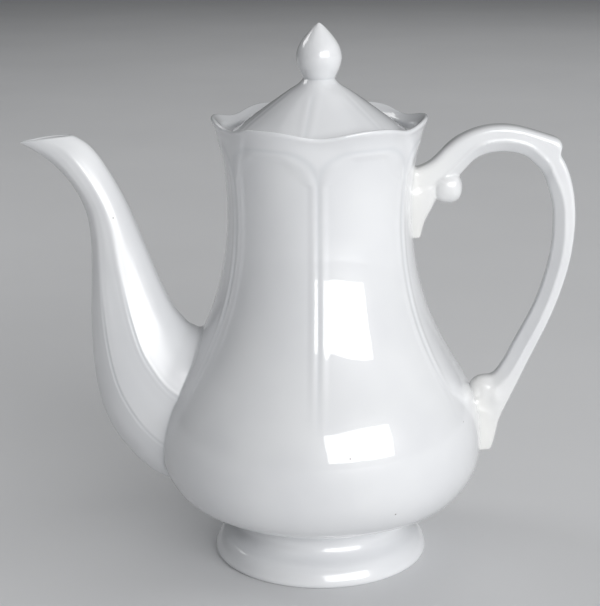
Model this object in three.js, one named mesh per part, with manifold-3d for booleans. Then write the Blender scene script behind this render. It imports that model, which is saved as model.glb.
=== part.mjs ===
// A coffee pot of white glazed ironstone, with a loose lid. Millimetres, +Z up.
// The pot stands on the plane Z = 0. Its spout points along -X and its handle along +X,
// and the origin is the centre of the whole pot's footprint box.
import * as THREE from 'three';
import { mergeVertices } from 'three/addons/utils/BufferGeometryUtils.js';
import Module from 'manifold-3d';

const wasm = await Module();
wasm.setup();

// ---- driving dimensions ---------------------------------------------------------------
const TOTAL_HEIGHT = 240;
const SPOUT_REACH = 129.8; // from the turning axis to the spout's tip
const HANDLE_REACH = 112; // from the turning axis to the handle's outer side
const AXIS_X = (SPOUT_REACH - HANDLE_REACH) / 2;

const WALL = 3.5; // cast wall of the body
const SPOUT_WALL = 3; // at the spout's root
const SPOUT_LIP = 1.8; // at its mouth
const PAST_ROOT = [8, 2]; // how far the channel's cut runs on beyond the spout's root, in X and Z
const PAST_MOUTH = [-3, 5]; // and beyond its mouth
const GAP = 0.3; // luting joint between two pieces
const ROUND_STEPS = 36; // a multiple of 12, so that every rib and panel middle is on a step
const PANELS = 6;

const BASE_RADIUS = 30; // flat middle of the body's underside
const BASE_HEIGHT = 17.4;
const GALLERY_HEIGHT = 191.2; // ledge that carries the lid
const GALLERY_RADIUS = 33.6; // mouth through the ledge
const GALLERY_DEPTH = 4;
const GALLERY_ROOT = 172; // height where the ledge starts to lean in from the neck's wall
const RIM_HEIGHT = 200.3; // petal tips, at the panels' middles
const NOTCH_DROP = 2.7; // how much lower the rim is at the ribs between panels
const NOTCH_INSET = 2.4; // how much nearer the axis it is there

const STRAINER_HEIGHT = 68;
const STRAINER_HOLE_RADIUS = 2.6;
const STRAINER_RING_RADIUS = 10;
const STRAINER_RING_HOLES = 6;
const STRAINER_DISTANCE = 70; // from the axis to the wall that the holes go through
const DRILL_LENGTH = 30;
const DRILL_SIDES = 10;

const SCROLL_CENTRE = [55.6, 168.9]; // radius from the axis, height
const SCROLL_RADIUS = 6.8;
const SCROLL_HALF_WIDTH = 7.6;
const STRAP_CORNER = 0.5; // share of each side of a strap's section that its cut corners leave flat

// How many steps a piece is made of along its length, and how many sides it has round it.
const SPOUT_MESH = { steps: 22, sides: 20 };
const CHANNEL_MESH = { steps: 18, sides: 16 };
const STRAP_MESH = { steps: 46, sides: 8 };
const BRACKET_MESH = { steps: 8, sides: 8 };
const SCROLL_MESH = { steps: 10, sides: 16 };
const FINIAL_SIDES = 24;
const CURVE_STEPS = 20; // of the body's side

// ---- outlines, as [radius, height] from the turning axis --------------------------------
const BODY_SIDE = [
  [41, 21.8], [52.5, 26.1], [62.8, 31.2], [68.6, 38.2], [71.7, 46], [72.6, 55],
  [71.5, 66], [69.2, 74], [64.8, 83.2], [59.5, 92], [50.1, 110], [43.7, 130],
  [40.8, 150], [40.5, 162], [41.2, 174], [42.5, 184], [43.8, 190], [44.6, 193],
];
const RIM_LIP = [
  [45.2, 195], [46.4, 197.8], [46.7, 199.6], [46.1, RIM_HEIGHT],
  [45, 200.1], [44.1, 198.4], [42.4, 195.2],
];
const FOOT_OUTLINE = [
  [42.8, 0], [47.3, 0], [48.2, 1], [48.2, 2.6], [47.5, 4.6], [46, 7.4], [44.2, 9.3],
  [41.6, 10.7], [39.4, 12.6], [38.2, 15.4], [38.2, 21.5], [31, 21.5], [31.4, 14],
  [34, 9], [39, 4.2], [42, 1.2], [42.8, 0],
];
const LID_OUTLINE = [
  [0, 216.3], [7.2, 216.3], [8, 215], [12, 212], [17.8, 208], [23.3, 204],
  [28.6, 200.2], [32.8, 197], [36.8, 194.4], [38.1, 193.3], [38.2, 192.4], [37.4, 191.5],
  [32.9, 191.5], [32.7, 181.2], [32, 180.4], [30.6, 180.4], [29.8, 181.2], [29.8, 192],
  [28.6, 195.4], [23, 199.8], [17.5, 204], [11, 208.7], [5, 211.9], [0, 212.6],
];
const FINIAL_OUTLINE = [
  [0, 216.6], [7, 216.6], [7.4, 217.8], [8.3, 219.6], [9.4, 222.4], [9.8, 226],
  [8.9, 230], [6.4, 234], [3.2, 237.6], [1.2, 239.3], [0, TOTAL_HEIGHT],
];

// ---- stations of the spout and the handle -----------------------------------------------
// Each is one cross-section: its outer and its inner end in the plane Y = 0, as distances
// along X from the turning axis and heights, and its half width in Y.
const SPOUT_STATIONS = [
  { outer: [-62, 33.5], inner: [-45, 99], half: 26.5 },
  { outer: [-75, 37.6], inner: [-55, 105], half: 25.4 },
  { outer: [-86.9, 48.8], inner: [-58.9, 107.2], half: 23.4 },
  { outer: [-95.6, 62.4], inner: [-62.8, 111.7], half: 20.7 },
  { outer: [-100.5, 80.4], inner: [-66.4, 117.2], half: 17.9 },
  { outer: [-101.9, 96.3], inner: [-69.9, 124.8], half: 15.5 },
  { outer: [-101.9, 112.3], inner: [-73.5, 134], half: 13.5 },
  { outer: [-101.2, 128.3], inner: [-77.2, 143.8], half: 12 },
  { outer: [-100.8, 144.2], inner: [-80.6, 152.9], half: 10.8 },
  { outer: [-102.3, 158.1], inner: [-84.6, 162.9], half: 9.9 },
  { outer: [-106.8, 168.5], inner: [-88.9, 171.3], half: 9 },
  { outer: [-113.9, 177.7], inner: [-94.3, 180.5], half: 7.8 },
  { outer: [-121.7, 184.1], inner: [-100.7, 187.9], half: 6.8 },
  { outer: [-SPOUT_REACH, 189.2], inner: [-107.2, 192.7], half: 5.6 },
];
const STRAP_STATIONS = [
  { outer: [35, 177], inner: [35, 160], half: 6.4 },
  { outer: [42.4, 177.6], inner: [46, 162.3], half: 6.4 },
  { outer: [48.5, 180.6], inner: [52.8, 166.8], half: 6.3 },
  { outer: [56.7, 188.7], inner: [61.9, 175.2], half: 6.2 },
  { outer: [65.1, 193.6], inner: [67.9, 181.4], half: 6.1 },
  { outer: [74, 195.9], inner: [75.4, 184.1], half: 6 },
  { outer: [84.1, 195.7], inner: [83.6, 184.1], half: 6 },
  { outer: [93.9, 193.2], inner: [90.6, 181.5], half: 6 },
  { outer: [100.6, 191.1], inner: [94.8, 177.5], half: 6 },
  { outer: [103.8, 189.5], inner: [96.5, 175.6], half: 6 },
  { outer: [105, 187], inner: [97.5, 174], half: 5.9 },
  { outer: [104.4, 184.4], inner: [98.2, 172.5], half: 5.9 },
  { outer: [105.6, 181.4], inner: [98.9, 170.5], half: 5.9 },
  { outer: [108.9, 174], inner: [100.5, 165.8], half: 5.9 },
  { outer: [111.1, 164], inner: [102, 159.2], half: 5.9 },
  { outer: [HANDLE_REACH, 153.5], inner: [102.3, 151], half: 5.9 },
  { outer: [110.9, 141], inner: [101.7, 141], half: 5.9 },
  { outer: [108.1, 127.4], inner: [98.8, 127], half: 5.9 },
  { outer: [100.9, 107], inner: [91.9, 108.9], half: 6 },
  { outer: [94.9, 93.9], inner: [86, 97.3], half: 6.1 },
  { outer: [89, 80.8], inner: [79.6, 85.6], half: 6.4 },
  { outer: [84.7, 71], inner: [72.6, 79.4], half: 6.6 },
  { outer: [81.4, 63.2], inner: [63, 69], half: 6.4 },
  { outer: [79.8, 56.9], inner: [62, 58], half: 6.1 },
  { outer: [78.6, 51.2], inner: [62, 51.2], half: 5.7 },
  { outer: [77.8, 48.3], inner: [62, 48], half: 5.2 },
];
const BRACKET_STATIONS = [
  { outer: [50, 174], inner: [34, 174], half: 6.4 },
  { outer: [50, 162], inner: [34, 162], half: 6.3 },
  { outer: [46.8, 155.5], inner: [34, 155.5], half: 6 },
  { outer: [44.9, 149.5], inner: [34, 149.5], half: 5.5 },
  { outer: [44.3, 146.8], inner: [34, 146.6], half: 5.2 },
];

// ---- solids -----------------------------------------------------------------------------
// A closed geometry as a manifold-3d solid, turned the right way out.
function toManifold(geometry) {
  const bare = new THREE.BufferGeometry();
  bare.setAttribute('position', geometry.getAttribute('position'));
  bare.setIndex(geometry.index);
  const merged = mergeVertices(bare, 1e-3);
  const index = merged.index.array;
  const triangles = [];
  for (let i = 0; i < index.length; i += 3) {
    const [a, b, c] = [index[i], index[i + 1], index[i + 2]];
    if (a !== b && b !== c && c !== a) triangles.push(a, b, c);
  }
  const vertProperties = merged.getAttribute('position').array;
  const build = (triVerts) => new wasm.Manifold(
    new wasm.Mesh({ numProp: 3, vertProperties, triVerts: new Uint32Array(triVerts) }),
  );
  const solid = build(triangles);
  return solid.volume() < 0 ? build(triangles.reverse()) : solid;
}

function toGeometry(solid) {
  const mesh = solid.getMesh();
  const geometry = new THREE.BufferGeometry();
  const positions = new Float32Array(mesh.vertProperties);
  geometry.setAttribute('position', new THREE.BufferAttribute(positions, mesh.numProp));
  geometry.setIndex(new THREE.BufferAttribute(new Uint32Array(mesh.triVerts), 1));
  geometry.computeVertexNormals();
  return geometry;
}

// A turned solid about the Z axis, whose first step faces -Y.
function turned(outline, steps = ROUND_STEPS) {
  const points = outline.map(([radius, height]) => new THREE.Vector2(radius, height));
  return new THREE.LatheGeometry(points, steps).rotateX(Math.PI / 2);
}

// An outline moved sideways by a distance, outwards when the distance is positive.
function offsetOutline(outline, distance) {
  return outline.map(([radius, height], i) => {
    const before = outline[Math.max(i - 1, 0)];
    const after = outline[Math.min(i + 1, outline.length - 1)];
    const along = new THREE.Vector2(after[0] - before[0], after[1] - before[1]).normalize();
    return [radius + along.y * distance, height - along.x * distance];
  });
}

// A closed tube through rings of points, with flat ends.
function loft(rings) {
  const sides = rings[0].length;
  const points = rings.flat();
  const centreOf = (ring) => ring
    .reduce((sum, point) => sum.add(point), new THREE.Vector3())
    .divideScalar(sides);
  points.push(centreOf(rings[0]), centreOf(rings[rings.length - 1]));
  const [firstCentre, lastCentre] = [points.length - 2, points.length - 1];
  const lastRing = (rings.length - 1) * sides;
  const index = [];
  for (let side = 0; side < sides; side += 1) {
    const next = (side + 1) % sides;
    for (let ring = 0; ring < rings.length - 1; ring += 1) {
      const [a, b] = [ring * sides + side, ring * sides + next];
      index.push(a, b, b + sides, a, b + sides, a + sides);
    }
    index.push(firstCentre, next, side);
    index.push(lastCentre, lastRing + side, lastRing + next);
  }
  const geometry = new THREE.BufferGeometry().setFromPoints(points);
  geometry.setIndex(index);
  return geometry;
}

// Rings along a list of stations. section(angle) gives a point on a unit outline, whose
// first number runs from the outer end (-1) to the inner end (1) and second along Y.
// insetAt(t) is how far the rings are drawn in from the outline, for a channel's wall.
function stationRings(stations, { steps, sides }, section, insetAt = () => 0) {
  const curveOf = (end) => new THREE.CatmullRomCurve3(
    stations.map((s) => new THREE.Vector3(s[end][0], s.half, s[end][1])),
  );
  const [outerCurve, innerCurve] = [curveOf('outer'), curveOf('inner')];
  return Array.from({ length: steps + 1 }, (_, step) => {
    const outer = outerCurve.getPoint(step / steps);
    const inner = innerCurve.getPoint(step / steps);
    const inset = insetAt(step / steps);
    const halfWidth = outer.y - inset;
    outer.y = 0;
    inner.y = 0;
    const centre = outer.clone().lerp(inner, 0.5);
    const across = inner.clone().sub(centre);
    across.setLength(across.length() - inset);
    return Array.from({ length: sides }, (__, side) => {
      const [u, v] = section((2 * Math.PI * (side + 0.5)) / sides);
      return centre.clone().addScaledVector(across, u).setY(halfWidth * v);
    });
  });
}

const ellipse = (angle) => [Math.cos(angle), Math.sin(angle)];

// A ring moved bodily, to carry a cutting tube past the end of what it cuts.
const shifted = (ring, x, z) => ring.map((p) => p.clone().add(new THREE.Vector3(x, 0, z)));

// ---- pieces -----------------------------------------------------------------------------
const sideCurve = new THREE.SplineCurve(BODY_SIDE.map(([r, z]) => new THREE.Vector2(r, z)));
const bodySide = sideCurve.getPoints(CURVE_STEPS).map((p) => [p.x, p.y]);

// The body's filled outer form, grown by the luting gap: what its neighbours are cut by.
function bodyEnvelope() {
  const side = offsetOutline([[BASE_RADIUS, BASE_HEIGHT], ...bodySide], GAP);
  const top = side[side.length - 1];
  return toManifold(turned([[0, BASE_HEIGHT - GAP], ...side, [0, top[1]]]));
}

// Lowers and draws in the rim at the ribs between the panels.
function shapePetals(geometry) {
  const position = geometry.getAttribute('position');
  for (let i = 0; i < position.count; i += 1) {
    const point = new THREE.Vector3().fromBufferAttribute(position, i);
    const azimuth = Math.atan2(point.x, -point.y);
    const notch = (1 + Math.cos(PANELS * azimuth)) / 2;
    const rise = THREE.MathUtils.smoothstep(point.z, GALLERY_HEIGHT, RIM_HEIGHT - 2);
    const radius = Math.hypot(point.x, point.y);
    const scale = radius > 0 ? 1 - (NOTCH_INSET * notch * rise) / radius : 1;
    position.setXYZ(i, point.x * scale, point.y * scale, point.z - NOTCH_DROP * notch * rise);
  }
  return geometry;
}

// Round holes through the wall behind the spout: one in the middle of a ring of others.
function strainerHoles() {
  const places = [[0, 0]];
  for (let hole = 0; hole < STRAINER_RING_HOLES; hole += 1) {
    const angle = (2 * Math.PI * hole) / STRAINER_RING_HOLES;
    places.push([Math.sin(angle), Math.cos(angle)].map((part) => part * STRAINER_RING_RADIUS));
  }
  return places.map(([across, up]) => {
    const radius = STRAINER_HOLE_RADIUS;
    const drill = new THREE.CylinderGeometry(radius, radius, DRILL_LENGTH, DRILL_SIDES);
    drill.rotateZ(Math.PI / 2);
    drill.translate(-STRAINER_DISTANCE, across, STRAINER_HEIGHT + up);
    return toManifold(drill);
  });
}

function potBody() {
  const inside = offsetOutline(bodySide, -WALL)
    .filter(([radius, height]) => radius > BASE_RADIUS + 2 && height < GALLERY_ROOT)
    .reverse();
  const outline = [
    [0, BASE_HEIGHT], [BASE_RADIUS, BASE_HEIGHT], ...bodySide, ...RIM_LIP,
    [40.8, 192.2], [40.6, GALLERY_HEIGHT],
    [GALLERY_RADIUS, GALLERY_HEIGHT], [GALLERY_RADIUS, GALLERY_HEIGHT - GALLERY_DEPTH],
    ...inside, [BASE_RADIUS, BASE_HEIGHT + WALL + 0.4], [0, BASE_HEIGHT + WALL],
  ];
  const hollow = toManifold(shapePetals(turned(outline)));
  return toGeometry(strainerHoles().reduce((solid, hole) => solid.subtract(hole), hollow));
}

function footRing() {
  return toGeometry(toManifold(turned(FOOT_OUTLINE)).subtract(bodyEnvelope()));
}

function spout() {
  const shell = toManifold(loft(stationRings(SPOUT_STATIONS, SPOUT_MESH, ellipse)));
  const wallAt = (t) => THREE.MathUtils.lerp(SPOUT_WALL, SPOUT_LIP, t);
  const channel = stationRings(SPOUT_STATIONS, CHANNEL_MESH, ellipse, wallAt);
  channel.unshift(shifted(channel[0], ...PAST_ROOT));
  channel.push(shifted(channel[channel.length - 1], ...PAST_MOUTH));
  return toGeometry(shell.subtract(toManifold(loft(channel))).subtract(bodyEnvelope()));
}

// A strap's section: a rectangle with its corners cut off.
function strapSection(angle) {
  const [c, s] = [Math.cos(angle), Math.sin(angle)];
  const wide = Math.abs(c) > Math.abs(s);
  const [alongU, alongV] = wide ? [1, STRAP_CORNER] : [STRAP_CORNER, 1];
  return [alongU * Math.sign(c), alongV * Math.sign(s)];
}

function handle() {
  const strap = toManifold(loft(stationRings(STRAP_STATIONS, STRAP_MESH, strapSection)));
  const bracket = toManifold(loft(stationRings(BRACKET_STATIONS, BRACKET_MESH, strapSection)));
  const ball = new THREE.SphereGeometry(1, SCROLL_MESH.sides, SCROLL_MESH.steps);
  ball.scale(SCROLL_RADIUS, SCROLL_HALF_WIDTH, SCROLL_RADIUS);
  ball.translate(SCROLL_CENTRE[0], 0, SCROLL_CENTRE[1]);
  const whole = strap.add(bracket).add(toManifold(ball));
  return toGeometry(whole.subtract(bodyEnvelope()));
}

// ---- the assembled pot --------------------------------------------------------------------
const glaze = { color: 0xe4e6e9, roughness: 0.12, metalness: 0 };

function piece(name, geometry) {
  const mesh = new THREE.Mesh(geometry, new THREE.MeshStandardMaterial(glaze));
  mesh.name = name;
  return mesh;
}

const pot = new THREE.Group();
pot.add(
  piece('pot_body', potBody()),
  piece('foot_ring', footRing()),
  piece('spout', spout()),
  piece('handle', handle()),
);

const looseLid = new THREE.Group();
looseLid.add(
  piece('lid', toGeometry(toManifold(turned(LID_OUTLINE)))),
  piece('lid_finial', toGeometry(toManifold(turned(FINIAL_OUTLINE, FINIAL_SIDES)))),
);

const group = new THREE.Group();
group.add(pot, looseLid);
group.position.x = AXIS_X;

export default group;
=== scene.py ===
"""A white glazed ironstone coffee pot with a loose lid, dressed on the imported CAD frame.

The outlines and stations below are in millimetres from the pot's turning axis: a distance from
the axis, or along X from it, and a height. Azimuth 0 faces -Y and 90 degrees faces +X.
"""

import math

import bmesh
import bpy
import numpy as np
from mathutils import Matrix, Vector


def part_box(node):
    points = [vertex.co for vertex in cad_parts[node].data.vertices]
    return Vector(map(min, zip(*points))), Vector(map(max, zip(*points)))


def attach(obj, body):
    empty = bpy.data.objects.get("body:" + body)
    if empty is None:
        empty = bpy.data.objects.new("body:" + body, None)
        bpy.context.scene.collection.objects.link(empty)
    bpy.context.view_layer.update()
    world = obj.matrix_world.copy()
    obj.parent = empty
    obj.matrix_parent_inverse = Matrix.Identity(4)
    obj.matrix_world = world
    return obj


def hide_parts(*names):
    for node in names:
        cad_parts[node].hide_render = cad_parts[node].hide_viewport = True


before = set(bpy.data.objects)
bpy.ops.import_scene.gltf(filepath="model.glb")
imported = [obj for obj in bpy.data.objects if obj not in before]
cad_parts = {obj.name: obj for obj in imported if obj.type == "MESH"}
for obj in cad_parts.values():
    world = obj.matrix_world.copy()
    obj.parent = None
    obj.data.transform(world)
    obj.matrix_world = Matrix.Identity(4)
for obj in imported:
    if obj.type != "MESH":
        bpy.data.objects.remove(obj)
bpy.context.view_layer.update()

MM = 0.001
foot_low, foot_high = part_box("foot_ring")
AXIS = Vector(((foot_low.x + foot_high.x) / 2, (foot_low.y + foot_high.y) / 2, foot_low.z))

# ---- driving dimensions, in millimetres ---------------------------------------------------
WALL = 3.5
SPOUT_WALL, SPOUT_LIP = 3.0, 2.2
SPOUT_LIP_BOW = 0.5  # how much the sides of the spout's mouth stand above its ends
EMBED = 1.2  # how deep the spout and the handle run into the body's wall
SPOUT_SEAM_RADIUS, SPOUT_CROTCH_RADIUS = 0.4, 2.8  # of the fillet where the spout meets the body
SPOUT_CROTCH_SHARPNESS = 4  # how closely the wide fillet keeps to the spout's body side
HANDLE_SEAM_RADIUS = 1.0

PANELS = 6
PANEL_TURN = math.radians(-0.8)  # the moulding was cut slightly out of line with the rim
LID_TURN = math.radians(-10)  # how the lid happens to lie in its seat
BASE_RADIUS, BASE_HEIGHT = 30, 17.4
GALLERY_HEIGHT, GALLERY_RADIUS, GALLERY_DEPTH, GALLERY_ROOT = 191.2, 33.6, 4, 172
RIM_HEIGHT, NOTCH_DROP, NOTCH_INSET, NOTCH_SHARPNESS = 200.3, 2.7, 2.4, 1.3
# Heights where the wall begins to follow the rim's wave, and where it follows it in full.
PETAL_START, PETAL_END = 184, RIM_HEIGHT - 0.5

BEAD_SPACING = 1.95  # from the groove between two panels to the crest of the bead beside it
BEAD_HEIGHT = 0.28
GROOVE_LEVEL = 0.2  # height of the groove's floor, as a share of the bead's
# Widths of the bead's inner side, of the slope outside the groove, and of the line of pooled
# glaze and painted shade in the groove, as shares of the bead's spacing.
BEAD_INNER_SIDE, GROOVE_OUTER_SIDE, GROOVE_LINE = 1.5, 1.2, 0.4
ARCH_TOP, ARCH_CORNER = 191.7, 14.5
RIB_FADE = (72, 104)  # heights between which the ribs grow out of the belly
RIM_FADE = (198, 195)  # heights between which the moulding dies away below the rim's edge
LID_ARCH_END, LID_ARCH_CORNER, LID_BEAD_HEIGHT = 44.5, 9.0, 0.11
LID_TOP_FADE = (6, 16)  # distances down the lid between which its moulding begins
LID_EDGE_FADE = (37.8, 35.5)  # radii between which it dies away at the lid's edge

STRAINER_HEIGHT, STRAINER_DISTANCE = 68, 70
STRAINER_HOLE_RADIUS, STRAINER_RING_RADIUS, STRAINER_RING_HOLES = 2.6, 10, 6
STRAINER_DRILL_LENGTH = 30

# Degrees round the spout from its body side, low down and high up, of the ribs on each flank.
SPOUT_RIBS = ((75, 84), (114, 125))
SPOUT_RIB_TURN = (0.22, 0.6)  # shares of the spout between which a rib changes its place
SPOUT_RIDGES = ((0.5, 0.3), (0.3, 0.15))  # heights of each rib's foot and of its crest
SPOUT_RIDGE_SPREADS = (7.5, 2.6)  # half the widths of its foot and of its crest
SPOUT_GROOVE_WIDTH, SPOUT_GROOVE_DEPTH = 0.7, 0.28
SPOUT_GROOVE_ENDS = (0.36, 0.58)  # shares of the spout between which the groove runs out
SPOUT_RELIEF_FADE = (1.0, 0.9)  # shares of the spout between which the ribs die away at its mouth
SPOUT_BEAK, SPOUT_BEAK_START = 0.3, 0.8  # how much the mouth's outer end narrows, and from where
SPOUT_BOW_START = 0.85  # share of the spout at which its mouth begins to bow

# Rounded lumps on the handle: centre x and height, half sizes in x, y and height, squareness.
SCROLL = ((55.6, 168.9), (6.6, 7.9, 7.0), 2.5)
KNUCKLE = ((78.4, 73.8), (4.9, 7.0, 7.2), 2.1)
KNUCKLE_BUMP = ((74.4, 75.8), (7.7, 6.2, 7.1), 2.1)
# Centre x and height, reach and steps of the places where the clay is smoothed over more.
SMOOTHED = (((76, 76), 14, 100), ((43, 166), 10, 70))
HANDLE_VOXEL = 0.42  # size of the grid on which the handle's parts are fused
HANDLE_SMOOTHING = 11  # steps of smoothing over the whole handle

# Pooled glaze and painted shade along a crease: how much of it there, and how far from there it fades.
BODY_POOL_AND_SHADE, FOOT_POOL_AND_SHADE, SPOUT_POOL_AND_SHADE = (0.5, 1.6), (0.45, 1.4), (0.2, 1.0)
HANDLE_POOL_AND_SHADE, LID_POOL_AND_SHADE, FINIAL_POOL_AND_SHADE = (0.3, 0.8), (0.4, 1.2), (0.35, 0.8)
BODY_CREASE, FOOT_CREASE, FINIAL_CREASE = 22, 20.8, 217  # heights of three of the creases
# How much pooled glaze and painted shade darken the grooves of the relief.
GROOVE_POOL_AND_SHADE, LID_GROOVE_POOL_AND_SHADE = 0.28, 0.2  # how much has pooled in the grooves of the relief
HANDLE_CREAM = (0.5, 12)  # cream tint where the handle meets the body, and how far it fades
BARE_HEIGHT = 0.4  # height below which the foot's flat ring is wiped bare

# ---- how finely the meshes are divided, in millimetres -----------------------------------------
BODY_ROW_HEIGHTS, BODY_ROW_GAPS = (160, 172, 196, 198), (2.1, 0.6, 0.6, 0.4)
LID_ROW_RADII, LID_ROW_GAPS = (36, 37.5), (0.7, 0.35)
BODY_INNER_GAP, CORE_GAP, LID_UNDER_GAP = 3.2, 2.5, 1.2
FOOT_GAP, HANDLE_GAP, FINIAL_GAP = 0.45, 0.8, 0.3
# Columns of a panelled piece: the radius at which they are measured, the gap beside a line
# between two panels, the gap elsewhere, and how far the close columns reach.
BODY_COLUMNS, LID_COLUMNS = (42, 0.55, 1.25, 9), (30, 0.5, 1.3, 6)
COLUMN_BLEND = 3  # distance over which close columns give way to wide ones
FOOT_COLUMNS, FINIAL_COLUMNS, CORE_COLUMNS = 240, 144, 180
SPOUT_ROWS, SPOUT_ROW_POWER = 210, 1.5  # a power above 1 gathers the rows towards the root
SPOUT_CHANNEL_ROWS, SPOUT_LIP_ROWS = 60, 6
SPOUT_LINE_REACH, SPOUT_LINE_GAPS = (8, 13), (1.1, 3.6)  # degrees from a rib, degrees apart
SPOUT_ROOT_END, SPOUT_ROOT_STEPS = 0.7, 700  # share of the spout searched for its root
LUMP_ROWS, LUMP_COLUMNS = 40, 48

# ---- outlines, as [radius, height] ----------------------------------------------------------
CAP_RADIUS = 1  # of the small disc that closes a turned piece at the axis
BODY_SIDE = [
    [41, 21.8], [52.5, 26.1], [62.8, 31.2], [68.6, 38.2], [71.7, 46], [72.6, 55],
    [71.5, 66], [69.2, 74], [64.8, 83.2], [59.5, 92], [50.1, 110], [43.7, 130],
    [40.8, 150], [40.5, 162], [41.2, 174], [42.5, 184], [43.8, 190], [44.6, 193],
]
RIM_LIP = [
    [45.3, 195.3], [46.3, 197.8], [46.8, 199.2], [46.6, 200.1], [45.9, RIM_HEIGHT],
    [45, 199.8], [43.7, 198.5], [42.4, 196.9], [41.6, 195], [41.3, 193],
]
GALLERY = [
    [41.2, 192.6], [40.6, GALLERY_HEIGHT], [GALLERY_RADIUS, GALLERY_HEIGHT],
    [GALLERY_RADIUS, GALLERY_HEIGHT - GALLERY_DEPTH],
]
GALLERY_ROUNDING = [0, 0.9, 0.8, 0.8]
BODY_FLOOR = [[BASE_RADIUS, BASE_HEIGHT + WALL + 0.4], [CAP_RADIUS, BASE_HEIGHT + WALL]]
BODY_FLOOR_ROUNDING = [0, 4]
BODY_BASE = [[CAP_RADIUS, BASE_HEIGHT], [15, BASE_HEIGHT], [BASE_RADIUS, BASE_HEIGHT], [36, 19.8]]
FOOT_SIDE = [
    [47.6, 0.3], [48.2, 1.2], [48.2, 2.6], [47.6, 4.6], [46.2, 7.2], [44.3, 9.2],
    [41.9, 10.7], [39.7, 12.5], [38.5, 14.8], [38.3, 17.2], [39, 19.4], [40.6, 21.2],
]
FOOT_INSIDE = [[37, 21.6], [31, 21.5], [31.4, 14], [34, 9], [39, 4.2], [42, 1.2], [42.9, 0]]
FOOT_INSIDE_ROUNDING = [0, 1, 2, 2, 2, 0.5]
FOOT_RING_EDGE = [47, 0]
LID_APEX = [CAP_RADIUS, 217]
LID_TOP = [
    [6.4, 217.3], [6.9, 216.4], [7.9, 215], [11.9, 212.1], [17.7, 208.1], [23.2, 204.2],
    [28.6, 200.3], [32.8, 197.1], [35.6, 194.9], [37.4, 193.9], [38.1, 193.1],
    [38, 192.1], [37.2, 191.6],
]
LID_UNDER = [
    [32.9, 191.5], [32.7, 180.4], [29.8, 180.4], [29.8, 192], [28.6, 195.4], [23, 199.8],
    [17.5, 204], [11, 208.7], [5, 211.9], [CAP_RADIUS, 212.5],
]
LID_UNDER_ROUNDING = [0, 0.9, 0.9, 2, 3, 1, 1, 1, 1]
FINIAL_ROOT = [CAP_RADIUS, 216.2]
FINIAL_SIDE = [
    [6.8, 216.2], [7.2, 217.3], [8.2, 219.4], [9.3, 222.4], [9.8, 226], [8.8, 230],
    [6.3, 234], [3.1, 237.6], [1.2, 239.3], [0.35, 239.9],
]
CORE_BASE, CORE_TOP = [CAP_RADIUS, 24], [CAP_RADIUS, 192]

# ---- stations: outer end x and height, inner end x and height, half width in Y ----------------
SPOUT_STATIONS = [
    [-62, 33.5, -45, 99, 25.6], [-75, 37.6, -55, 105, 24.7], [-86.9, 48.8, -58.9, 107.2, 23],
    [-95.6, 62.4, -62.8, 111.7, 20.6], [-100.5, 80.4, -66.4, 117.2, 17.9],
    [-101.9, 96.3, -69.9, 124.8, 15.5], [-101.9, 112.3, -73.5, 134, 13.5],
    [-101.2, 128.3, -77.2, 143.8, 12], [-100.8, 144.2, -80.6, 152.9, 10.8],
    [-102.3, 158.1, -84.6, 162.9, 9.9], [-106.8, 168.5, -88.9, 171.3, 9],
    [-113.9, 177.7, -94.3, 180.5, 7.8], [-121.7, 184.1, -100.4, 188.1, 6.3],
    [-129.8, 188.7, -106.2, 191.8, 4.6],
]
STRAP_STATIONS = [
    [35, 177, 35, 160, 6.4], [42.4, 177.6, 46, 162.3, 6.4], [48.5, 180.6, 52.8, 166.8, 6.3],
    [56.7, 188.7, 61.9, 175.2, 6.2], [65.1, 193.6, 67.9, 181.4, 6.1],
    [74, 195.9, 75.4, 184.1, 6], [84.1, 195.7, 83.6, 184.1, 6], [93.9, 193.2, 90.6, 181.5, 6],
    [100.6, 191.1, 94.8, 177.5, 6], [103.8, 189.5, 96.5, 175.6, 6],
    [105, 187, 97.5, 174, 5.9], [104.4, 184.4, 98.2, 172.5, 5.9],
    [105.6, 181.4, 98.9, 170.5, 5.9], [108.9, 174, 100.5, 165.8, 5.9],
    [111.1, 164, 102, 159.2, 5.9], [111.8, 153.5, 102.3, 151, 5.9],
    [110.9, 141, 101.7, 141, 5.9], [108.1, 127.4, 98.8, 127, 5.9], [100.9, 107, 91.9, 108.9, 6],
    [94.9, 93.9, 86, 97.3, 6.1], [89, 80.8, 79.6, 85.6, 6.4], [84.7, 71, 72.6, 79.4, 6.6],
    [81.4, 63.2, 63, 69, 6.4], [79.8, 56.9, 62, 58, 6.1], [78.6, 51.2, 62, 51.2, 5.7],
    [77.8, 48.3, 62, 48, 5.2],
]
BRACKET_STATIONS = [
    [52, 171, 34, 164.9, 6.3], [50.5, 163, 34, 160.5, 6.3], [46.8, 155.5, 34, 155.5, 6],
    [44.9, 149.5, 34, 149.5, 5.5], [44.3, 146.8, 34, 146.6, 5.2],
]
# Half sections, from the outer end (-1) to the inner end (1), and across to the half width (1).
# A first number above 1 is instead the distance in millimetres from the inner end.
STRAP_SECTION = [[-1, 0], [-1, 0.5], [-0.84, 0.9], [5.7, 0.935], [4.9, 1], [1, 0.4], [1, 0]]
STRAP_ROUNDING = [0, 0.3, 0.2, 0.1, 0.08, 0.25, 0]
BRACKET_SECTION = [[-1, 0], [-1, 0.6], [-0.8, 1], [1, 1], [1, 0]]
BRACKET_ROUNDING = [0, 0.25, 0.25, 0, 0]


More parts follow.
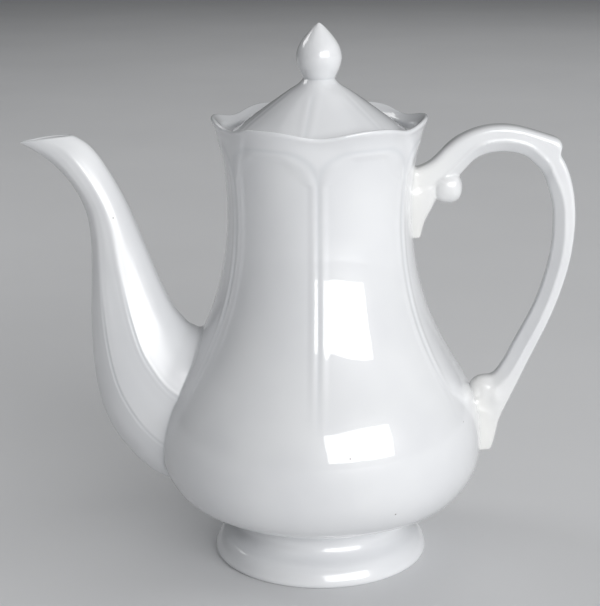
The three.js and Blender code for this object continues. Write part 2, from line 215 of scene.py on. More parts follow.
# ---- curves -------------------------------------------------------------------------------------
def smooth_curve(points):
    """A function from 0 to 1 that follows a natural cubic spline through the points."""
    knots = np.array(points, float)
    t = np.concatenate([[0], np.cumsum(np.linalg.norm(np.diff(knots, axis=0), axis=1))])
    count = len(t)
    system, right = np.eye(count), np.zeros_like(knots)
    for i in range(1, count - 1):
        before, after = t[i] - t[i - 1], t[i + 1] - t[i]
        system[i, i - 1 : i + 2] = before, 2 * (before + after), after
        right[i] = 6 * ((knots[i + 1] - knots[i]) / after - (knots[i] - knots[i - 1]) / before)
    bend = np.linalg.solve(system, right)

    def at(share):
        s = np.clip(np.asarray(share, float), 0, 1) * t[-1]
        i = np.clip(np.searchsorted(t, s, side="right") - 1, 0, count - 2)
        step = (t[i + 1] - t[i])[..., None]
        back = (t[i + 1] - s)[..., None] / step
        ahead = 1 - back
        line = back * knots[i] + ahead * knots[i + 1]
        bow = (back**3 - back) * bend[i] + (ahead**3 - ahead) * bend[i + 1]
        return line + bow * step**2 / 6

    return at


def spaced(line, gap):
    """Points along a line of many points, about a gap apart. The gap is one number, or a number
    for each point of the line."""
    gaps = np.broadcast_to(gap, len(line))[:-1]
    steps = np.linalg.norm(np.diff(line, axis=0), axis=1)
    count = np.concatenate([[0], np.cumsum(steps / gaps)])
    wanted = np.linspace(0, count[-1], max(2, int(round(count[-1])) + 1))
    return np.stack([np.interp(wanted, count, column) for column in line.T], axis=1)


def rounded(corners, radii, steps=6):
    """A line through corners, each rounded off over its radius along both sides."""
    corners = np.array(corners, float)
    line = [corners[0]]
    for before, corner, after, radius in zip(corners, corners[1:], corners[2:], radii[1:]):
        to_before, to_after = before - corner, after - corner
        first = corner + to_before * min(radius / np.linalg.norm(to_before), 0.5)
        last = corner + to_after * min(radius / np.linalg.norm(to_after), 0.5)
        for share in np.linspace(0, 1, steps):
            line.append((1 - share) ** 2 * first + 2 * share * (1 - share) * corner + share**2 * last)
    line.append(corners[-1])
    return np.array(line)


FINE = np.linspace(0, 1, 4000)
side_line = smooth_curve(BODY_SIDE)(FINE)
side_slope = np.gradient(side_line[:, 0], side_line[:, 1])
spout_curve = smooth_curve(SPOUT_STATIONS)


def off_body(points):
    """How far points lie outside the body's side, in millimetres."""
    radius, height = np.hypot(points[..., 0], points[..., 1]), points[..., 2]
    wall = np.interp(height, side_line[:, 1], side_line[:, 0])
    slope = np.interp(height, side_line[:, 1], side_slope)
    return (radius - wall) / np.hypot(1, slope)


def smoothstep(value, low, high):
    """0 at low and 1 at high, with a smooth way between them."""
    share = np.clip((value - low) / (high - low), 0, 1)
    return share * share * (3 - 2 * share)


def fading(distance, most, reach):
    """The most at a crease, and less and less away from it."""
    return most * np.exp(-np.maximum(distance, 0) / reach)


# ---- relief -------------------------------------------------------------------------------------
def edge_bead(place):
    """Height of the bead that runs inside a panel's edge. The edge is a groove at place 0, the
    bead's crest is at 1, and beyond the edge the surface falls back to its own level."""
    groove = GROOVE_LEVEL + (1 - GROOVE_LEVEL) * (1 - np.cos(np.pi * place)) / 2
    inside = (1 + np.cos(np.pi * np.clip((place - 1) / BEAD_INNER_SIDE, 0, 1))) / 2
    outside = GROOVE_LEVEL * (1 + np.cos(np.pi * np.clip(place / GROOVE_OUTER_SIDE, -1, 0))) / 2
    return np.select([place < 0, place < 1], [outside, groove], inside)


def moulding(across, along, end, corner):
    """Height of the bead that frames a panel, and how near a point is to its groove, from 0 to 1.

    across is the distance from the line between two panels, and along runs towards the arch
    that closes the panel at end. The beads spread where the arch turns.
    """
    a = np.maximum(corner - across, 0)
    b = np.maximum(along - (end - corner), 0)
    reach = np.hypot(a, b)
    spread = 1 + np.sqrt(2 * a * b / np.maximum(reach**2, 1e-9))
    place = (corner - reach) / (BEAD_SPACING * spread)
    return edge_bead(place), np.exp(-((place / GROOVE_LINE) ** 2))


def from_rib(azimuth, turn):
    """The angle from the nearest line between two panels."""
    panel = 2 * math.pi / PANELS
    return np.abs((azimuth - turn + panel / 2) % panel - panel / 2)


def even_azimuths(count):
    """Azimuths all the same distance apart, right round a piece."""
    return np.linspace(0, 2 * math.pi, count, endpoint=False)


def panel_azimuths(turn, radius, fine, coarse, fine_reach):
    """Azimuths of a turned piece's columns, closer together beside each line between panels."""
    half = np.linspace(0, math.pi / PANELS, 400) * radius
    line = np.stack([half, 0 * half], axis=1)
    gap = np.interp(half, [fine_reach, fine_reach + COLUMN_BLEND], [fine, coarse])
    half = spaced(line, gap)[:, 0] / radius
    panel = np.concatenate([-half[:0:-1], half[:-1]])
    turns = np.arange(PANELS) * 2 * math.pi / PANELS
    return np.concatenate([panel + start for start in turns]) + turn


def outline_normals(line):
    """Normals of an outline. They point outwards where it runs up a piece's outer side."""
    along = np.gradient(line, axis=0)
    along /= np.linalg.norm(along, axis=1)[:, None]
    return np.stack([along[:, 1], -along[:, 0]], axis=1)


def raise_relief(radius, height, rows, lift, normals):
    """Moves rows of a turned piece's points along the normals of their outline."""
    radius[rows] += lift * normals[:, :1]
    height[rows] += lift * normals[:, 1:]


# ---- meshes -------------------------------------------------------------------------------------
def turned(outline, azimuths):
    """The radii and the heights of an outline's points, the same in every column."""
    return outline[:, :1] + 0 * azimuths, outline[:, 1:] + 0 * azimuths


def lathe(radius, height, azimuths):
    """A grid of points from radii, heights and azimuths. Each azimuth is one column."""
    return np.stack([radius * np.sin(azimuths), -radius * np.cos(azimuths), height + 0 * radius], axis=-1)


def grid_faces(rows, columns, ring=False):
    """Quads of a grid that closes round its columns. As a ring it closes round its rows too, and
    otherwise a face closes each end."""
    row = np.arange(rows if ring else rows - 1)[:, None] + np.zeros((1, columns), int)
    column = np.arange(columns)[None, :] + 0 * row
    after, above = (column + 1) % columns, (row + 1) % rows
    this_row, next_row = row * columns, above * columns
    corners = [this_row + column, this_row + after, next_row + after, next_row + column]
    faces = np.stack(corners, axis=-1).reshape(-1, 4).tolist()
    if not ring:
        faces.append(list(range(columns)))
        faces.append(list(range((rows - 1) * columns, rows * columns)))
    return faces


def join_grids(grids):
    """The points and the faces of several grids, as those of one mesh."""
    points, faces, start = [], [], 0
    for grid in grids:
        faces += [[corner + start for corner in face] for face in grid_faces(*grid.shape[:2])]
        points.append(grid.reshape(-1, 3))
        start += len(points[-1])
    return np.concatenate(points), faces


def grid_normals(grid):
    """Unit normals of a grid that closes round its columns, pointing away from its middle."""
    along = np.gradient(grid, axis=0)
    round_it = np.roll(grid, -1, axis=1) - np.roll(grid, 1, axis=1)
    normals = np.cross(along, round_it)
    normals /= np.maximum(np.linalg.norm(normals, axis=-1), 1e-12)[..., None]
    outwards = grid - grid.mean(axis=1, keepdims=True)
    return normals * np.sign((normals * outwards).sum())


def make_mesh(name, points, faces):
    """A closed mesh, in metres in the shared frame, from points in millimetres about the axis."""
    places = points.reshape(-1, 3) * MM + np.array(AXIS)
    mesh = bpy.data.meshes.new(name)
    mesh.from_pydata(places.tolist(), [], faces)
    edit = bmesh.new()
    edit.from_mesh(mesh)
    bmesh.ops.recalc_face_normals(edit, faces=edit.faces)
    edit.to_mesh(mesh)
    edit.free()
    piece = bpy.data.objects.new(name, mesh)
    bpy.context.scene.collection.objects.link(piece)
    return piece


def turned_mesh(name, radius, height, azimuths, ring=False):
    """A mesh from radii and heights, which may differ from column to column."""
    return make_mesh(name, lathe(radius, height, azimuths), grid_faces(*radius.shape, ring=ring))


def places_of(piece):
    """A piece's points, in millimetres about the axis."""
    places = np.zeros(len(piece.data.vertices) * 3)
    piece.data.vertices.foreach_get("co", places)
    return (places.reshape(-1, 3) - np.array(AXIS)) / MM


def apply_modifiers(piece):
    """Replaces a piece's mesh by the mesh that its modifiers make of it."""
    graph = bpy.context.evaluated_depsgraph_get()
    mesh = bpy.data.meshes.new_from_object(piece.evaluated_get(graph))
    piece.modifiers.clear()
    piece.data = mesh


def cut(piece, cutter):
    """Takes the cutter's space away from a piece, and removes the cutter."""
    modifier = piece.modifiers.new("cut", "BOOLEAN")
    modifier.operation, modifier.solver, modifier.object = "DIFFERENCE", "EXACT", cutter
    apply_modifiers(piece)
    bpy.data.objects.remove(cutter)


def paint(piece, name, values):
    """Stores a number at each point of a piece, for its material."""
    stored = piece.data.attributes.new(name, "FLOAT", "POINT")
    stored.data.foreach_set("value", np.asarray(values, np.float32).ravel())


def finish_piece(piece, body, node, materials):
    """Gives a piece its materials and its body, and hides the CAD part that it stands for."""
    piece.data.shade_smooth()
    for material in materials:
        piece.data.materials.append(material)
    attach(piece, body)
    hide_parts(node)
    return piece


# ---- materials ----------------------------------------------------------------------------------
def add_node(tree, kind, settings=None, inputs=None):
    """A new node. Each input is a socket to link from, or the value to set."""
    made = tree.nodes.new(kind)
    for key, value in (settings or {}).items():
        setattr(made, key, value)
    for key, value in (inputs or {}).items():
        if isinstance(value, bpy.types.NodeSocket):
            tree.links.new(value, made.inputs[key])
        else:
            made.inputs[key].default_value = value
    return made


def new_material(name):
    """A material, its node tree, its shader and the socket of the place on the piece."""
    material = bpy.data.materials.new(name)
    material.use_nodes = True
    tree = material.node_tree
    place = add_node(tree, "ShaderNodeTexCoord").outputs["Object"]
    return material, tree, tree.nodes["Principled BSDF"], place


def attribute(tree, name):
    """The number that paint() stored on the piece."""
    return add_node(tree, "ShaderNodeAttribute", {"attribute_name": name}).outputs["Fac"]


def mix_colour(tree, share, first, second):
    """The colour socket of a mix. The colours are sockets or four numbers."""
    inputs = {0: share, 6: first, 7: second}
    return add_node(tree, "ShaderNodeMix", {"data_type": "RGBA"}, inputs).outputs[2]


def scaled(tree, value, low, high, to_low=0.0, to_high=1.0):
    """A value's range stretched to another one, and held at its ends."""
    inputs = {"Value": value, "From Min": low, "From Max": high, "To Min": to_low, "To Max": to_high}
    return add_node(tree, "ShaderNodeMapRange", None, inputs).outputs["Result"]


def noise(tree, place, wavelength, detail=2.0):
    """Soft noise from 0 to 1, whose lumps are about a wavelength across."""
    inputs = {"Vector": place, "Scale": 1 / wavelength, "Detail": detail}
    return add_node(tree, "ShaderNodeTexNoise", None, inputs).outputs["Fac"]


def bump(tree, height, strength, depth, under=None):
    """The normal of a bump, added to the normal under it if there is one."""
    inputs = {"Height": height, "Strength": strength, "Distance": depth}
    if under is not None:
        inputs["Normal"] = under
    return add_node(tree, "ShaderNodeBump", None, inputs).outputs["Normal"]


GLAZE_WHITE = (0.775, 0.785, 0.80, 1)
GLAZE_SHADE = (0.735, 0.745, 0.765, 1)  # where the glaze lies a little thicker
# Pooled glaze and painted shade, along creases and in grooves.
GLAZE_POOLED_AND_SHADED = (0.56, 0.59, 0.62, 1)  # along creases
GLAZE_CREAM = (0.80, 0.79, 0.73, 1)
# Roughness of the gloss. The glaze lies unevenly on the pieces with ribs and tight curves, so
# their highlights are softer.
BODY_GLOSS, FOOT_GLOSS, HANDLE_GLOSS, SPOUT_GLOSS = 0.03, 0.1, 0.15, 0.24
SPECK_COLOUR = (0.12, 0.10, 0.09, 1)
SPECK_CELL, SPECK_RADIUS = 0.019, 0.00028  # metres
SPECK_EDGE, SPECK_STRENGTH = 1.6, 0.85  # where a speck ends, in radii, and how much it covers
CLOUD_SIZE, RIPPLE_SIZE, GRAIN_SIZE = 0.035, 0.018, 0.0022  # metres
RIPPLE_DEPTH, GRAIN_DEPTH = 0.00016, 0.000012  # metres
CLAY_PALE = (0.70, 0.66, 0.58, 1)
CLAY_DARK = (0.58, 0.53, 0.45, 1)
CLAY_STAIN = (0.42, 0.37, 0.31, 1)
GRIT_SIZE, GRIT_DEPTH, STAIN_SIZE = 0.0009, 0.0001, 0.012  # metres
PAPER_DARK = (0.67, 0.675, 0.685, 1)
PAPER_PALE = (0.70, 0.705, 0.715, 1)
PAPER_CLOUD_SIZE = 0.25  # metres


def glazed_ironstone(name, gloss):
    """White glaze over ironstone: clouded, greyer with pooled glaze and painted shade in the creases,
    with a few iron specks.
    """
    material, tree, shader, place = new_material(name)
    clouds = scaled(tree, noise(tree, place, CLOUD_SIZE), 0.35, 0.65)
    colour = mix_colour(tree, clouds, GLAZE_WHITE, GLAZE_SHADE)
    colour = mix_colour(tree, attribute(tree, "cream"), colour, GLAZE_CREAM)
    # Greyer with pooled glaze and painted shade where the pieces store it.
    colour = mix_colour(tree, attribute(tree, "pooled_glaze_and_shade"), colour, GLAZE_POOLED_AND_SHADED)
    cells = add_node(tree, "ShaderNodeTexVoronoi", None, {"Vector": place, "Scale": 1 / SPECK_CELL})
    radius = SPECK_RADIUS / SPECK_CELL
    speck = scaled(tree, cells.outputs["Distance"], radius, radius * SPECK_EDGE, SPECK_STRENGTH, 0.0)
    colour = mix_colour(tree, speck, colour, SPECK_COLOUR)
    tree.links.new(colour, shader.inputs["Base Color"])
    shader.inputs["Roughness"].default_value = 0.34
    shader.inputs["IOR"].default_value = 1.5
    shader.inputs["Coat Weight"].default_value = 1.0
    shader.inputs["Coat Roughness"].default_value = gloss
    shader.inputs["Coat IOR"].default_value = 1.52
    ripple = bump(tree, noise(tree, place, RIPPLE_SIZE, 1.0), 0.5, RIPPLE_DEPTH)
    surface = bump(tree, noise(tree, place, GRAIN_SIZE), 0.25, GRAIN_DEPTH, ripple)
    tree.links.new(surface, shader.inputs["Normal"])
    tree.links.new(surface, shader.inputs["Coat Normal"])
    return material


def bare_ironstone():
    """The fired clay of the ring that the pot stands on, wiped clean of glaze."""
    material, tree, shader, place = new_material("bare_ironstone")
    grit = noise(tree, place, GRIT_SIZE, 4.0)
    stain = noise(tree, place, STAIN_SIZE, 3.0)
    colour = mix_colour(tree, scaled(tree, grit, 0.35, 0.7), CLAY_PALE, CLAY_DARK)
    colour = mix_colour(tree, scaled(tree, stain, 0.5, 0.75, 0, 0.5), colour, CLAY_STAIN)
    tree.links.new(colour, shader.inputs["Base Color"])
    tree.links.new(scaled(tree, grit, 0.3, 0.7, 0.7, 0.95), shader.inputs["Roughness"])
    tree.links.new(bump(tree, grit, 0.5, GRIT_DEPTH), shader.inputs["Normal"])
    return material


def floor_paper():
    """Plain pale paper, very slightly clouded."""
    material, tree, shader, place = new_material("floor_paper")
    tone = scaled(tree, noise(tree, place, PAPER_CLOUD_SIZE, 3.0), 0.3, 0.7)
    tree.links.new(mix_colour(tree, tone, PAPER_DARK, PAPER_PALE), shader.inputs["Base Color"])
    shader.inputs["Roughness"].default_value = 0.75
    return material


# ---- the pot --------------------------------------------------------------------------------------
def petals(radius, height, azimuths, start):
    """Lowers and draws in the rim at the lines between the panels, from a height upwards."""
    notch = ((1 + np.cos(PANELS * azimuths)) / 2) ** NOTCH_SHARPNESS
    rise = smoothstep(height, start, PETAL_END)
    return radius - NOTCH_INSET * notch * rise, height - NOTCH_DROP * notch * rise


def strainer_drills():
    """Round rods through the wall behind the spout: one in the middle of a ring of others."""
    places = [(0, 0)]
    for hole in range(STRAINER_RING_HOLES):
        angle = 2 * math.pi * hole / STRAINER_RING_HOLES
        places.append((STRAINER_RING_RADIUS * math.sin(angle), STRAINER_RING_RADIUS * math.cos(angle)))
    edit = bmesh.new()
    for across, up in places:
        middle = Vector((-STRAINER_DISTANCE, across, STRAINER_HEIGHT + up)) * MM + AXIS
        turn = Matrix.Translation(middle) @ Matrix.Rotation(math.pi / 2, 4, "Y")
        radius = STRAINER_HOLE_RADIUS * MM
        bmesh.ops.create_cone(
            edit, cap_ends=True, segments=32, radius1=radius, radius2=radius,
            depth=STRAINER_DRILL_LENGTH * MM, matrix=turn,
        )
    mesh = bpy.data.meshes.new("drills")
    edit.to_mesh(mesh)
    edit.free()
    drills = bpy.data.objects.new("drills", mesh)
    bpy.context.scene.collection.objects.link(drills)
    return drills


def body_outline():
    """The body's closed outline from under its base, up its outside and down its inside, and
    which of its points are on its outer side."""
    outside = smooth_curve(BODY_SIDE + RIM_LIP)(FINE)
    outside = spaced(outside, np.interp(outside[:, 1], BODY_ROW_HEIGHTS, BODY_ROW_GAPS))
    inner = side_line - outline_normals(side_line) * WALL
    inner = inner[(inner[:, 0] > BASE_RADIUS + 2) & (inner[:, 1] < GALLERY_ROOT)][::-1]
    ledge = rounded(GALLERY + [inner[0]], GALLERY_ROUNDING)
    inner = spaced(inner, BODY_INNER_GAP)
    bottom = rounded([inner[-1]] + BODY_FLOOR, BODY_FLOOR_ROUNDING)
    outline = np.concatenate([BODY_BASE, outside, ledge, inner[1:-1], bottom])
    return outline, slice(len(BODY_BASE), len(BODY_BASE) + len(outside))


def pot_body(glaze):
    """The body, with its moulding, its petal rim, its gallery and the strainer's holes."""
    outline, outer = body_outline()
    azimuths = panel_azimuths(PANEL_TURN, *BODY_COLUMNS)
    radius, height = turned(outline, azimuths)
    across = from_rib(azimuths, PANEL_TURN) * radius[outer]
    bead, groove = moulding(across, height[outer], ARCH_TOP, ARCH_CORNER)
    presence = smoothstep(height[outer], *RIB_FADE) * smoothstep(height[outer], *RIM_FADE)
    raise_relief(radius, height, outer, BEAD_HEIGHT * bead * presence, outline_normals(outline[outer]))
    # Pooled glaze and painted shade: greyer in the moulding's grooves and along the crease where the body
    # meets the foot.
    pooled_glaze_and_shade = np.zeros_like(radius)
    pooled_glaze_and_shade[outer] = GROOVE_POOL_AND_SHADE * groove * presence
    pooled_glaze_and_shade[outer] += fading(height[outer] - BODY_CREASE, *BODY_POOL_AND_SHADE)
    row = np.arange(len(outline))[:, None]
    before_lip = row < outer.start + np.argmax(outline[outer, 1])
    wave_start = np.where(before_lip, PETAL_START, GALLERY_HEIGHT)
    radius, height = petals(radius, height, azimuths, wave_start)
    piece = turned_mesh("ironstone_body", radius, height, azimuths)
    paint(piece, "pooled_glaze_and_shade", pooled_glaze_and_shade)
    cut(piece, strainer_drills())
    return finish_piece(piece, "pot", "pot_body", [glaze])


def foot_ring(glaze, clay):
    """The hollow foot, glazed except on the flat ring that it stands on."""
    side = spaced(smooth_curve(FOOT_SIDE)(FINE), FOOT_GAP)
    inside = rounded(FOOT_INSIDE, FOOT_INSIDE_ROUNDING)
    outline = np.concatenate([side, inside, [FOOT_RING_EDGE]])
    azimuths = even_azimuths(FOOT_COLUMNS)
    radius, height = turned(outline, azimuths)
    piece = turned_mesh("ironstone_foot", radius, height, azimuths, ring=True)
    # Pooled glaze and painted shade: greyer towards the crease under the body.
    paint(piece, "pooled_glaze_and_shade", fading(FOOT_CREASE - height, *FOOT_POOL_AND_SHADE))
    finish_piece(piece, "pot", "foot_ring", [glaze, clay])
    for face in piece.data.polygons:
        faces_down = face.normal.z < -0.9
        if faces_down and face.center.z < AXIS.z + BARE_HEIGHT * MM:
            face.material_index = 1
    return piece


def spout_skin(share, angle, inset):
    """Points of the spout's skin. share is 0 at its root and 1 at its mouth, and angle is 0
    on its body side and 180 degrees on its outer side."""
    station = spout_curve(share)
    outer, inner = station[..., 0:2], station[..., 2:4]
    centre = (outer + inner) / 2
    across = inner - centre
    reach = np.linalg.norm(across, axis=-1)
    along_it = centre + across * ((1 - inset / reach) * np.cos(angle))[..., None]
    beak = SPOUT_BEAK * smoothstep(share, SPOUT_BEAK_START, 1.0) * np.maximum(-np.cos(angle), 0) ** 2
    wide = (station[..., 4] - inset) * np.sin(angle) * (1 - beak)
    bow = SPOUT_LIP_BOW * smoothstep(share, SPOUT_BOW_START, 1.0) * np.sin(angle) ** 2
    return np.stack([along_it[..., 0], wide, along_it[..., 1] + bow], axis=-1)


def root_share(angles, inset):
    """Where each line along the spout's skin leaves the body's wall."""
    shares = np.linspace(0, SPOUT_ROOT_END, SPOUT_ROOT_STEPS)
    depth = off_body(spout_skin(shares[:, None] + 0 * angles, angles + 0 * shares[:, None], inset))
    return np.array([np.interp(-EMBED, np.maximum.accumulate(column), shares) for column in depth.T])


def seam_flare(points, normals, radius):
    """Flares a skin outwards where it meets the body, as a fillet."""
    away = np.clip(radius - np.maximum(off_body(points), 0), 0, radius)
    return points + normals * (radius - np.sqrt(radius**2 - away**2))[..., None]


def spout_angles():
    """Angles of the lines along the spout's skin, closer together beside its ribs."""
    fine = np.linspace(0, 180, 2000)
    nearest = np.min([np.maximum(low - fine, fine - high) for low, high in SPOUT_RIBS], axis=0)
    line = np.stack([fine, 0 * fine], axis=1)
    half = spaced(line, np.interp(nearest, SPOUT_LINE_REACH, SPOUT_LINE_GAPS))[:, 0]
    return np.radians(np.concatenate([half, 360 - half[-2:0:-1]]))


def spout_relief(share, angles):
    """Height and groove of the ribs along each flank of the spout. Each is a soft ridge, split
    by a narrow groove along the lower half."""
    station = spout_curve(share)
    reach = np.linalg.norm(station[..., 0:2] - station[..., 2:4], axis=-1) / 2
    per_radian = np.hypot(reach * np.sin(angles), station[..., 4] * np.cos(angles))
    flank = np.abs((np.degrees(angles) + 180) % 360 - 180)
    split = smoothstep(share, SPOUT_GROOVE_ENDS[1], SPOUT_GROOVE_ENDS[0])
    height, groove = 0, 0
    for rib, ridges in zip(SPOUT_RIBS, SPOUT_RIDGES):
        away = np.radians(np.abs(flank - np.interp(share, SPOUT_RIB_TURN, rib))) * per_radian
        for ridge, spread in zip(ridges, SPOUT_RIDGE_SPREADS):
            height = height + ridge * (1 + np.cos(np.pi * np.clip(away / spread, 0, 1))) / 2
        valley = np.exp(-((away / SPOUT_GROOVE_WIDTH) ** 2)) * split
        height = height - SPOUT_GROOVE_DEPTH * valley
        groove = groove + valley
    return height * smoothstep(share, *SPOUT_RELIEF_FADE), groove


def spout_channel(angles):
    """Points of the channel inside the spout, from its mouth down to its root."""
    start = root_share(angles, SPOUT_WALL)
    share = start + (1 - start) * np.linspace(1, 0, SPOUT_CHANNEL_ROWS)[:, None]
    wall = SPOUT_WALL + (SPOUT_LIP - SPOUT_WALL) * share
    return spout_skin(share, angles + 0 * share, wall)


def rolled_lip(skin, channel):
    """Rows that round off the mouth between the skin's last row and the channel's first."""
    middle = (skin[-1] + channel[0]) / 2
    radial = skin[-1] - middle
    ahead = skin[-1] - skin[-2]
    ahead *= (np.linalg.norm(radial, axis=-1) / np.linalg.norm(ahead, axis=-1))[:, None]
    turns = np.linspace(0, math.pi, SPOUT_LIP_ROWS + 2)[1:-1]
    return np.stack([middle + radial * math.cos(turn) + ahead * math.sin(turn) for turn in turns])


def spout(glaze):
    """The hollow spout, open at its root and at its mouth, with its ribs and its seam."""
    angles = spout_angles()
    start = root_share(angles, 0)
    share = start + (1 - start) * np.linspace(0, 1, SPOUT_ROWS)[:, None] ** SPOUT_ROW_POWER
    skin = spout_skin(share, angles + 0 * share, 0)
    normals = grid_normals(skin)
    lift, groove = spout_relief(share, angles)
    crotch = np.maximum(np.cos(angles), 0) ** SPOUT_CROTCH_SHARPNESS
    seam = SPOUT_SEAM_RADIUS + (SPOUT_CROTCH_RADIUS - SPOUT_SEAM_RADIUS) * crotch + 0 * share
    skin = seam_flare(skin + normals * lift[..., None], normals, seam)
    channel = spout_channel(angles)
    grid = np.concatenate([skin, rolled_lip(skin, channel), channel])
    piece = make_mesh("ironstone_spout", grid, grid_faces(*grid.shape[:2], ring=True))
    # Pooled glaze and painted shade: greyer in the ribs' grooves and along the seam with the body.
    pooled_glaze_and_shade = np.zeros(grid.shape[:2])
    pooled_glaze_and_shade[: len(skin)] = GROOVE_POOL_AND_SHADE * groove + fading(off_body(skin), *SPOUT_POOL_AND_SHADE)
    paint(piece, "pooled_glaze_and_shade", pooled_glaze_and_shade)
    return finish_piece(piece, "pot", "spout", [glaze])


def section_corners(section, length):
    """A section's corners, all of them as shares from the outer end (-1) to the inner end (1)."""
    return [[1 - 2 * along / length if along > 1 else along, across] for along, across in section]


def strap(stations, section, rounding):
    """A strap through its stations, as a grid of points."""
    rows = spaced(smooth_curve(stations)(FINE), HANDLE_GAP)
    grid = []
    for start, end, half_width in zip(rows[:, 0:2], rows[:, 2:4], rows[:, 4]):
        half = rounded(section_corners(section, np.linalg.norm(end - start)), rounding)
        line = np.concatenate([half, half[-2:0:-1] * [1, -1]])
        middle = (start + end) / 2
        places = middle + (end - middle) * line[:, :1]
        grid.append(np.stack([places[:, 0], half_width * line[:, 1], places[:, 1]], axis=-1))
    return np.stack(grid)


def lump(centre, size, squareness):
    """A squarish ball in the plane of the handle, as a grid of points."""
    rise = np.linspace(-1.5, 1.5, LUMP_ROWS)[:, None]  # radians, nearly from pole to pole
    turn = even_azimuths(LUMP_COLUMNS)
    height = np.sin(rise) + 0 * turn
    ball = np.stack([np.cos(rise) * np.sin(turn), -np.cos(rise) * np.cos(turn), height], axis=-1)
    ball /= (np.abs(ball) ** squareness).sum(axis=-1, keepdims=True) ** (1 / squareness)
    return ball * size + (centre[0], 0, centre[1])


def body_core():
    """The body's filled form, as deep inside its wall as the spout and the handle reach."""
    inside = spaced(side_line - outline_normals(side_line) * EMBED, CORE_GAP)
    outline = np.concatenate([[CORE_BASE], inside[inside[:, 1] > CORE_BASE[1] + 1], [CORE_TOP]])
    azimuths = even_azimuths(CORE_COLUMNS)
    return turned_mesh("core", *turned(outline, azimuths), azimuths)


def smooth_over(piece, centre, reach, steps):
    """Smooths a piece around a place in the plane of the handle, less and less towards reach."""
    away = places_of(piece) - (centre[0], 0, centre[1])
    share = smoothstep(np.linalg.norm(away, axis=1), reach, reach * 0.5)
    group = piece.vertex_groups.new(name="smoothed")
    for tenth in range(1, 11):
        group.add(np.flatnonzero(np.round(share * 10) == tenth).tolist(), tenth / 10, "REPLACE")
    soften = piece.modifiers.new("soften", "SMOOTH")
    soften.factor, soften.iterations, soften.vertex_group = 0.5, steps, group.name
    apply_modifiers(piece)
    piece.vertex_groups.clear()


def handle(glaze):
    """The strap, its bracket and its rolled lumps, fused and softened as cast clay is."""
    straps = [
        strap(STRAP_STATIONS, STRAP_SECTION, STRAP_ROUNDING),
        strap(BRACKET_STATIONS, BRACKET_SECTION, BRACKET_ROUNDING),
    ]
    straps = [seam_flare(grid, grid_normals(grid), HANDLE_SEAM_RADIUS) for grid in straps]
    lumps = [lump(*SCROLL), lump(*KNUCKLE), lump(*KNUCKLE_BUMP)]
    piece = make_mesh("ironstone_handle", *join_grids(straps + lumps))
    fuse = piece.modifiers.new("fuse", "REMESH")
    fuse.mode, fuse.voxel_size = "VOXEL", HANDLE_VOXEL * MM
    soften = piece.modifiers.new("soften", "SMOOTH")
    soften.factor, soften.iterations = 0.5, HANDLE_SMOOTHING
    apply_modifiers(piece)
    for centre, reach, steps in SMOOTHED:
        smooth_over(piece, centre, reach, steps)
    cut(piece, body_core())
    near = off_body(places_of(piece))
    # Pooled glaze and painted shade: greyer where the handle meets the body.
    paint(piece, "pooled_glaze_and_shade", fading(near, *HANDLE_POOL_AND_SHADE))
    paint(piece, "cream", fading(near, *HANDLE_CREAM))
    return finish_piece(piece, "pot", "handle", [glaze])


# ---- the lid ----------------------------------------------------------------------------------------
def lid(glaze):
    """The hollow lid, with its moulding above and its flange below."""
    top = smooth_curve(LID_TOP)(FINE)
    top = spaced(top, np.interp(top[:, 0], LID_ROW_RADII, LID_ROW_GAPS))
    under = spaced(rounded(LID_UNDER, LID_UNDER_ROUNDING), LID_UNDER_GAP)
    outline = np.concatenate([[LID_APEX], top, under])
    outer = slice(1, 1 + len(top))
    azimuths = panel_azimuths(LID_TURN, *LID_COLUMNS)
    radius, height = turned(outline, azimuths)
    down = np.concatenate([[0], np.cumsum(np.linalg.norm(np.diff(top, axis=0), axis=1))])[:, None]
    across = from_rib(azimuths, LID_TURN) * radius[outer]
    bead, groove = moulding(across, down, LID_ARCH_END, LID_ARCH_CORNER)
    presence = smoothstep(down, *LID_TOP_FADE) * smoothstep(top[:, :1], *LID_EDGE_FADE)
    raise_relief(radius, height, outer, LID_BEAD_HEIGHT * bead * presence, -outline_normals(top))
    piece = turned_mesh("ironstone_lid", radius, height, azimuths)
    # Pooled glaze and painted shade: greyer in the moulding's grooves and near the finial.
    pooled_glaze_and_shade = np.zeros_like(radius)
    pooled_glaze_and_shade[outer] = LID_GROOVE_POOL_AND_SHADE * groove * presence + fading(down, *LID_POOL_AND_SHADE)
    paint(piece, "pooled_glaze_and_shade", pooled_glaze_and_shade)
    return finish_piece(piece, "lid", "lid", [glaze])


def lid_finial(glaze):
    """The bud on top of the lid."""
    side = spaced(smooth_curve(FINIAL_SIDE)(FINE), FINIAL_GAP)
    outline = np.concatenate([[FINIAL_ROOT], side])
    azimuths = even_azimuths(FINIAL_COLUMNS)
    radius, height = turned(outline, azimuths)
    piece = turned_mesh("ironstone_finial", radius, height, azimuths)
    # Pooled glaze and painted shade: greyer towards its crease with the lid.
    paint(piece, "pooled_glaze_and_shade", fading(height - FINIAL_CREASE, *FINIAL_POOL_AND_SHADE))
    return finish_piece(piece, "lid", "lid_finial", [glaze])


# ---- the studio -------------------------------------------------------------------------------------
CAMERA_PLACE = (-0.33, -692.1, 308.8)  # millimetres from the foot of the axis
CAMERA_YAW, CAMERA_PITCH, CAMERA_ROLL = -0.0123, -0.2713, -0.0066  # radians
CAMERA_LENS, CAMERA_SENSOR = 95.8, 36  # millimetres
CAMERA_NEAR, CAMERA_FAR = 0.05, 60  # metres
SKY_COLOUR, SKY_STRENGTH = (0.94, 0.97, 1.0, 1), 0.1
FLOOR_REACH = 12  # metres
LIGHTS_AIM = 0.1  # height in metres of the point that the lights look at
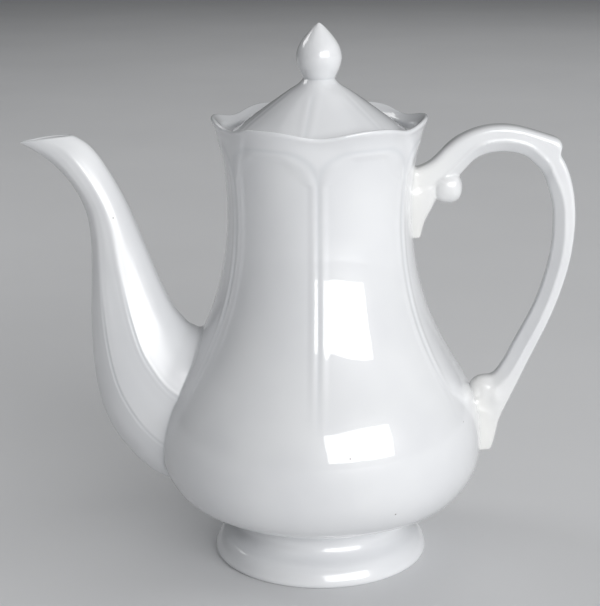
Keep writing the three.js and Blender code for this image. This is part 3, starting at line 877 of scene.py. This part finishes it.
# Name, azimuth and elevation, distance, width and height in metres, power, and whether it is
# reflected. A light that isn't reflected only lightens a shaded side.
LIGHTS = [
    ("window_right", 28.5, 17.5, 3.0, 2.59, 1.43, 74, True),
    ("window_left", -118, 37, 1.7, 0.6, 0.5, 3.8, True),
    ("fill_right", 80, 35, 2.5, 1.8, 1.2, 15, False),
    ("fill_back", 165, 35, 2.5, 1.8, 1.2, 8, False),
    ("overhead", 0, 89, 2.5, 2.4, 2.4, 8.5, True),
]


def direction(azimuth, elevation):
    """The direction from the pot at an azimuth and an elevation in degrees."""
    a, e = math.radians(azimuth), math.radians(elevation)
    return Vector((math.sin(a) * math.cos(e), -math.cos(a) * math.cos(e), math.sin(e)))


def softbox(name, azimuth, elevation, distance, width, height, power, reflected):
    """A rectangular light that looks at the middle of the pot."""
    light = bpy.data.lights.new(name, "AREA")
    light.shape, light.size, light.size_y = "RECTANGLE", width, height
    light.energy = power
    lamp = bpy.data.objects.new(name, light)
    bpy.context.scene.collection.objects.link(lamp)
    away = direction(azimuth, elevation)
    lamp.location = Vector((AXIS.x, AXIS.y, LIGHTS_AIM)) + away * distance
    lamp.rotation_mode = "QUATERNION"
    lamp.rotation_quaternion = away.to_track_quat("Z", "Y")
    lamp.visible_camera = False
    lamp.visible_glossy = reflected


def pale_floor():
    """A wide square of paper that the pot stands on."""
    mesh = bpy.data.meshes.new("floor")
    corners = [(x * FLOOR_REACH, y * FLOOR_REACH, 0) for x, y in ((-1, -1), (1, -1), (1, 1), (-1, 1))]
    mesh.from_pydata(corners, [], [(0, 1, 2, 3)])
    mesh.materials.append(floor_paper())
    floor = bpy.data.objects.new("floor", mesh)
    bpy.context.scene.collection.objects.link(floor)


def pale_sky():
    """Weak even light from all round."""
    world = bpy.data.worlds.new("studio")
    world.use_nodes = True
    world.node_tree.nodes["Background"].inputs["Color"].default_value = SKY_COLOUR
    world.node_tree.nodes["Background"].inputs["Strength"].default_value = SKY_STRENGTH
    bpy.context.scene.world = world


def front_camera():
    """The camera that looks down a little on the pot, across its spout and its handle."""
    camera_data = bpy.data.cameras.new("camera")
    camera_data.lens, camera_data.sensor_width = CAMERA_LENS, CAMERA_SENSOR
    camera_data.clip_start, camera_data.clip_end = CAMERA_NEAR, CAMERA_FAR
    camera = bpy.data.objects.new("camera", camera_data)
    bpy.context.scene.collection.objects.link(camera)
    turn = Matrix.Rotation(-CAMERA_YAW, 4, "Z") @ Matrix.Rotation(math.pi / 2 + CAMERA_PITCH, 4, "X")
    turn = turn @ Matrix.Rotation(CAMERA_ROLL, 4, "Z")
    camera.matrix_world = Matrix.Translation(Vector(CAMERA_PLACE) * MM + AXIS) @ turn
    bpy.context.scene.camera = camera


def studio():
    """A plain pale floor, soft lights and the camera."""
    pale_floor()
    pale_sky()
    for light in LIGHTS:
        softbox(*light)
    front_camera()
    bpy.context.scene.view_settings.view_transform = "Standard"


bright_glaze = glazed_ironstone("glazed_ironstone", BODY_GLOSS)
foot_glaze = glazed_ironstone("foot_ironstone_glaze", FOOT_GLOSS)
handle_glaze = glazed_ironstone("handle_ironstone_glaze", HANDLE_GLOSS)
spout_glaze = glazed_ironstone("spout_ironstone_glaze", SPOUT_GLOSS)
pot_body(bright_glaze)
foot_ring(foot_glaze, bare_ironstone())
spout(spout_glaze)
handle(handle_glaze)
lid(bright_glaze)
lid_finial(bright_glaze)
studio()

bpy.context.view_layer.update()
